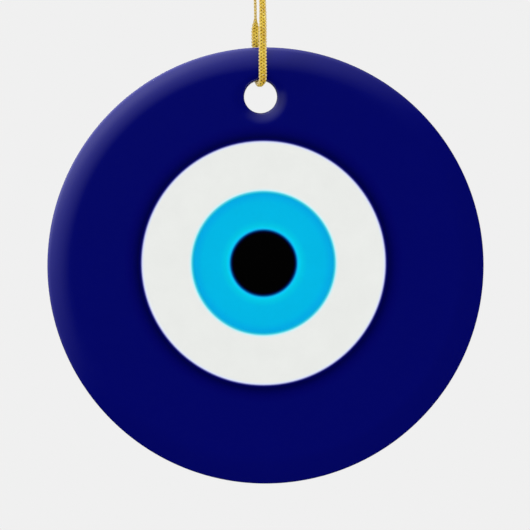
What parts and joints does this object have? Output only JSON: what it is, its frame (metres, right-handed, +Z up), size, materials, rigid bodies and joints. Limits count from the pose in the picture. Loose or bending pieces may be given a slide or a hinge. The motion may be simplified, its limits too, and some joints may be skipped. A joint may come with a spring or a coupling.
{
  "type": "evil eye ornament",
  "caption": "Round glazed ceramic disc with an eye printed on each face, hung by a knotted gold cord loop through a hole near its rim.",
  "frame": {"origin": "inside top of the cord's loop, where a hook bears, just under the knot", "axes": "+Z up, the front face looks along -Y, +X to the right as seen from the front"},
  "size_m": [0.073, 0.0066, 0.146],
  "materials": {
    "white_ceramic": "gloss",
    "navy_print": "gloss",
    "white_print": "gloss",
    "light_blue_print": "gloss",
    "black_print": "gloss",
    "gold_cord": "metallic yarn"
  },
  "bodies": {
    "hanger": {"cord_knot": "gold_cord", "front_cord_tail": "gold_cord", "back_cord_tail": "gold_cord"},
    "strands": {"hanging_cord": "gold_cord"},
    "ornament": {"ceramic_disc": "white_ceramic", "front_navy_field": "navy_print", "front_white_ring": "white_print", "front_blue_ring": "light_blue_print", "front_pupil": "black_print", "back_navy_field": "navy_print", "back_white_ring": "white_print", "back_blue_ring": "light_blue_print", "back_pupil": "black_print"}
  },
  "joints": [
    {"name": "twist", "type": "hinge", "parent": "hanger", "child": "strands", "pos_m": [0, 0, 0], "axis": [0, 0, 1], "range_deg": [-180, 180], "stiffness_Nm_per_rad": 0.000035},
    {"name": "swing", "type": "hinge", "parent": "strands", "child": "ornament", "pos_m": [0, 0, -0.064], "axis": [0, 1, 0], "range_deg": [-90, 90]}
  ]
}
